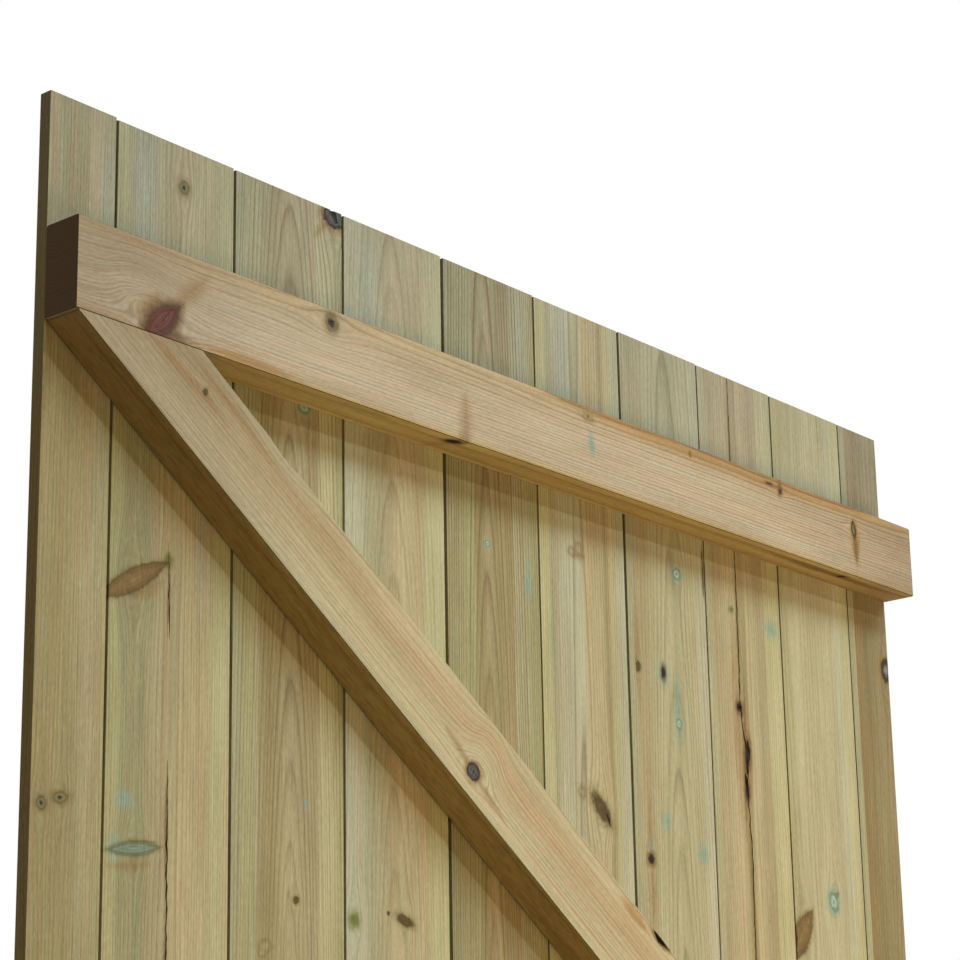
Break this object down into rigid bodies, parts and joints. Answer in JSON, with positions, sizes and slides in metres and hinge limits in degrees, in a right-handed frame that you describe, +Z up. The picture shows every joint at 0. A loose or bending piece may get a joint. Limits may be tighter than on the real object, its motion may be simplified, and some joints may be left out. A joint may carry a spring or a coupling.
{
  "type": "ledged and braced garden gate",
  "caption": "Bare softwood gate leaf: tongue-and-groove boards on three ledges, with a rising brace in each bay, to hang on strap hinges.",
  "frame": {"origin": "centre of the lower hinge seat, on the outer face of the bottom ledge, 150 mm in from the hanging edge", "axes": "+X from the closing edge to the hanging edge, +Y from the ledges to the flat front face, +Z up"},
  "size_m": [1.093, 0.045, 1.8],
  "materials": {
    "boards": "planed softwood boards, pressure treated, greenish sapwood",
    "ledges": "planed softwood, warm heartwood",
    "braces": "planed softwood, pale",
    "fixings": "countersunk screw heads, yellow passivated"
  },
  "bodies": {
    "root": {"board_01": "boards", "board_02": "boards", "board_03": "boards", "board_04": "boards", "board_05": "boards", "board_06": "boards", "board_07": "boards", "board_08": "boards", "board_09": "boards", "board_10": "boards", "top_ledge": "ledges", "middle_ledge": "ledges", "bottom_ledge": "ledges", "upper_brace": "braces", "lower_brace": "braces"}
  },
  "joints": []
}
